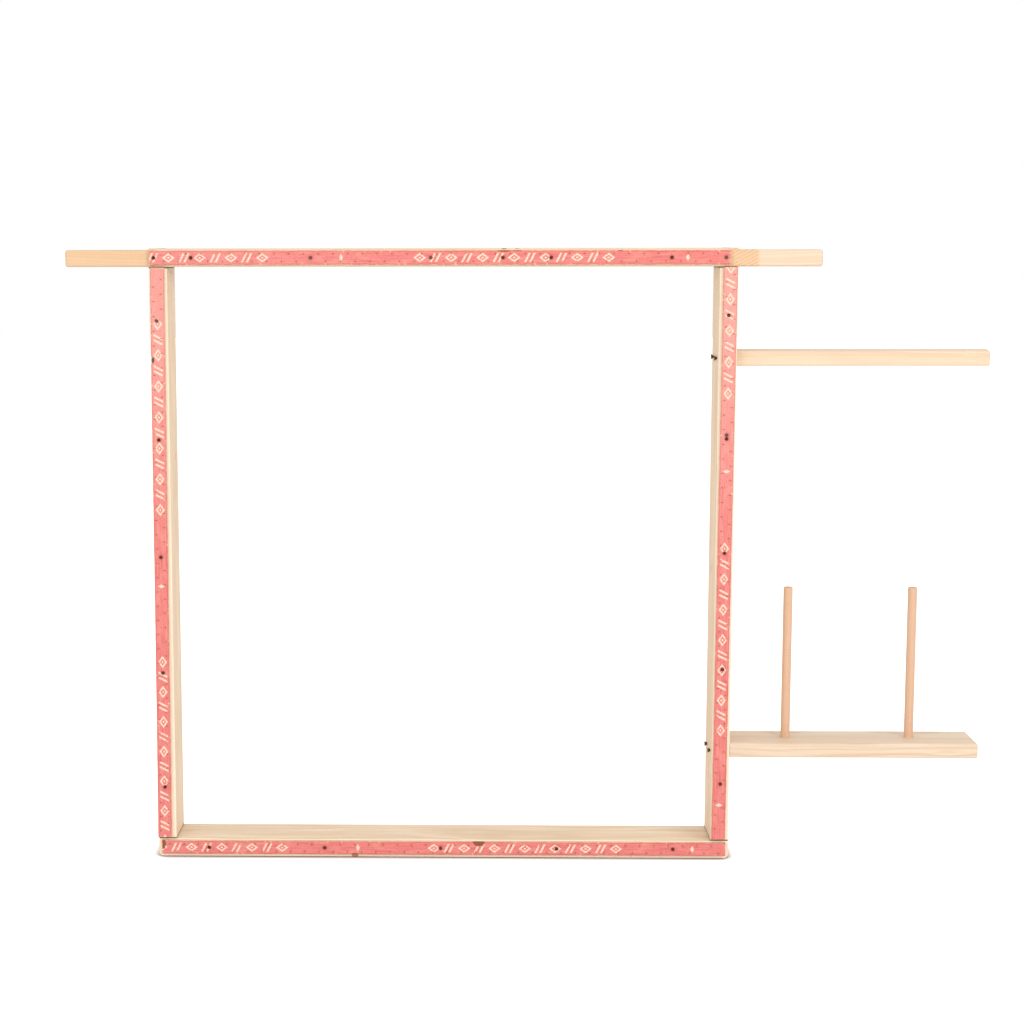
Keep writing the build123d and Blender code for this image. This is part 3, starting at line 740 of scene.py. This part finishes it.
for where, (_, sideways, _, _, _) in STRIPS.items():
    node = f"gripper_pins_{where}"
    strip_face = strip_boxes[where][0].y
    outward = sideways if where in ("top", "right") else -sideways
    mesh = bmesh.new()
    for low, high in solids_of(node):
        # The tip is the box's front outer edge, and the foot its back inner one.
        centre = (low + high) / 2
        reach = (high - low).dot(Vector([abs(c) for c in outward])) / 2 - 0.5 * MM
        tip = Vector((centre.x, low.y, centre.z)) + outward * reach
        foot = Vector((centre.x, strip_face + 1.5 * MM, centre.z)) - outward * reach * 0.1
        tip += crooked(where, tip)
        foot += crooked(where, foot)
        heading = (foot - tip).normalized()
        length = (foot - tip).length / MM
        first = len(mesh.verts)
        ring = bmesh.ops.create_circle(mesh, segments=8, radius=0.1)["verts"]
        edges = list({edge for vert in ring for edge in vert.link_edges})
        bmesh.ops.contextual_create(mesh, geom=edges)
        draw_down(mesh, edges, [(0.3, -1.1), (0.5, -2.6), (0.55, -length), (0.0, -length)])
        mesh.verts.ensure_lookup_table()
        facing = heading.to_track_quat("-Z", "Y").to_matrix().to_4x4()
        bmesh.ops.transform(mesh, verts=mesh.verts[first:],
                            matrix=Matrix.Translation(tip) @ facing @ Matrix.Scale(MM, 4))
    put_in_place(f"pin_rows_{where}", mesh, pin_steel, [node], smooth_below=50.0)

# ---------------------------------------------------------------- Strip nails
# Round-headed wire nails, blued and rusted to a dark red-brown, hold the strips down. The
# hammer left their heads slightly crooked and with small flats.
nail_steel = bpy.data.materials.new("rust_brown_nail_steel")
nail_steel.use_nodes = True
tree = nail_steel.node_tree
shader = tree.nodes["Principled BSDF"]
coords = add(tree, "TexCoord")
rust = add(tree, "TexNoise", {"Vector": coords.outputs["Object"], "Scale": 700.0, "Detail": 4.0})
skin = add(tree, "Mix", {0: rust.outputs["Fac"], 1: srgb("3E1713"), 2: srgb("6A2C22")},
           data_type="RGBA")
zinc = add(tree, "Attribute", attribute_name="zinc").outputs["Fac"]
skin = add(tree, "Mix", {0: zinc, 1: skin, 2: srgb("7C6862")}, data_type="RGBA")
tree.links.new(skin.outputs[2], shader.inputs["Base Color"])
scale = add(tree, "Bump", {"Height": rust.outputs["Fac"], "Strength": 0.4, "Distance": 0.0001})
tree.links.new(scale.outputs["Normal"], shader.inputs["Normal"])
shader.inputs["Roughness"].default_value = 0.7
shader.inputs["Specular IOR Level"].default_value = 0.2
shader.inputs["Metallic"].default_value = 0.15

hammer = random.Random(7)
for where in STRIPS:
    node = f"strip_nails_{where}"
    mesh = bmesh.new()
    zinc_layer = mesh.verts.layers.float.new("zinc")
    for number, (low, high) in enumerate(solids_of(node)):
        length = (high.y - low.y) / MM
        first = len(mesh.verts)
        ring = bmesh.ops.create_circle(mesh, segments=20, radius=1.2)["verts"]
        edges = list({edge for vert in ring for edge in vert.link_edges})
        bmesh.ops.contextual_create(mesh, geom=edges)
        draw_down(mesh, edges, [
            (2.1, -0.1), (2.75, -0.35), (3.05, -0.75), (3.0, -1.15), (2.6, -1.3), (1.3, -1.35),
            (1.3, 4.0 - length), (0.0, -length),
        ])
        mesh.verts.ensure_lookup_table()
        made = mesh.verts[first:]
        coated = 0.4 if hammer.random() < 0.15 else 0.1 * hammer.random()
        blow = hammer.uniform(0, math.tau)
        for vert in made:
            vert[zinc_layer] = coated
            if vert.co.z > -1.2:
                side = vert.co.x * math.cos(blow) + vert.co.y * math.sin(blow)
                vert.co.z -= max(0.0, side - 1.0) * 0.16
                vert.co.x *= 1.0 + 0.04 * noise.noise((number * 3.1, vert.co.y, 1.0))
        lean = Matrix.Rotation(hammer.uniform(-0.06, 0.06), 4, "X") @ Matrix.Rotation(
            hammer.uniform(-0.06, 0.06), 4, "Y")
        head = Vector(((low.x + high.x) / 2, low.y, (low.z + high.z) / 2))
        facing = Vector((0, 1, 0)).to_track_quat("-Z", "Y").to_matrix().to_4x4()
        bmesh.ops.transform(mesh, verts=made, matrix=(
            Matrix.Translation(head) @ facing @ lean @ Matrix.Scale(MM, 4)))
    put_in_place(f"nails_{where}", mesh, nail_steel, [node])

# ---------------------------------------------------------------- Shelf and guide bar
# Two planed pine boards with rounded edges, butted against the right stile's outer face:
# the yarn shelf low down, and the narrower bar that the yarn runs over.
finish_node("yarn_shelf", pine(
    "planed_pine_shelf", 0.0, (900.0, 30.0, 110.0), 8.0, early="DBC8B3", late="C9AC8F",
    knots=[((880.0, -48.0, 190.0), (60.0, 30.0, 9.0), 0.0, 6.0)], mottle=0.3, grain=0.85,
))
finish_node("guide_bar", pine(
    "planed_pine_guide_bar", 0.0, (400.0, -60.0, 800.0), 7.0, early="DFC9B0", late="CEB090",
    knots=[((898.0, -34.0, 881.0), (20.0, 30.0, 9.0), 0.0, 12.0)], mottle=0.25, grain=0.5,
))
for node, board in (("shelf_screws", "shelf"), ("guide_bar_screws", "guide_bar")):
    mesh = bmesh.new()
    for low, high in solids_of(node):
        head = Vector((low.x, (low.y + high.y) / 2, (low.z + high.z) / 2))
        wood_screw(mesh, head, Vector((1, 0, 0)), (high.x - low.x) / MM)
    put_in_place(f"side_screws_{board}", mesh, black_steel, [node])

# ---------------------------------------------------------------- Yarn pegs
# Two 16 mm beech dowels stand loose in blind holes in the shelf and take cones of yarn.
# Beech is an even pinkish tan with short dark flecks along the grain.
beech = bpy.data.materials.new("beech_dowel")
beech.use_nodes = True
tree = beech.node_tree
shader = tree.nodes["Principled BSDF"]
coords = add(tree, "TexCoord")
place = add(tree, "Mapping", {"Vector": coords.outputs["Object"], "Scale": (1000.0, 1000.0, 1000.0)})
grain_at = add(tree, "VectorMath", {0: place, 1: (0.5, 0.5, 0.012)}, operation="MULTIPLY")
grain = add(tree, "TexNoise", {"Vector": grain_at, "Scale": 1.0, "Detail": 3.0})
dowel = add(tree, "Mix", {0: grain.outputs["Fac"], 1: srgb("D9B79D"), 2: srgb("C69E80")},
            data_type="RGBA")
fleck_at = add(tree, "VectorMath", {0: place, 1: (1.5, 1.5, 0.35)}, operation="MULTIPLY")
flecks = add(tree, "TexNoise", {"Vector": fleck_at, "Scale": 1.0, "Detail": 1.0})
fleck = add(tree, "MapRange", {0: flecks.outputs["Fac"], 1: 0.62, 2: 0.72, 3: 0.0, 4: 0.55})
dowel = add(tree, "Mix", {0: fleck, 1: dowel, 2: srgb("A87A5A")}, data_type="RGBA")
upwards = add(tree, "SeparateXYZ", {0: coords.outputs["Normal"]}).outputs["Z"]
cut = add(tree, "MapRange", {0: upwards, 1: 0.6, 2: 0.9, 3: 0.0, 4: 0.6})
dowel = add(tree, "Mix", {0: cut, 1: dowel, 2: srgb("B98F6C")}, data_type="RGBA")
tree.links.new(next(out for out in dowel.outputs if out.enabled), shader.inputs["Base Color"])
ripple = add(tree, "Bump", {"Height": grain.outputs["Fac"], "Strength": 0.25,
                            "Distance": 0.0001})
tree.links.new(ripple.outputs["Normal"], shader.inputs["Normal"])
shader.inputs["Roughness"].default_value = 0.55
shader.inputs["IOR"].default_value = 1.5
shader.inputs["Specular IOR Level"].default_value = 0.35
finish_node("yarn_peg_inner", beech)
finish_node("yarn_peg_outer", beech)

# ---------------------------------------------------------------- Edge screw
# A stray wood screw, of the same black steel as the others, driven slantwise through the
# left strip's outer edge into the stile. Its head crushed a small crater in the plywood.
head, heading = slanting_screw()
mesh = bmesh.new()
wood_screw(mesh, head, heading, (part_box("edge_screw")[1].x - head.x) / heading.x / MM)
put_in_place("slanting_screw", mesh, black_steel, ["edge_screw"])
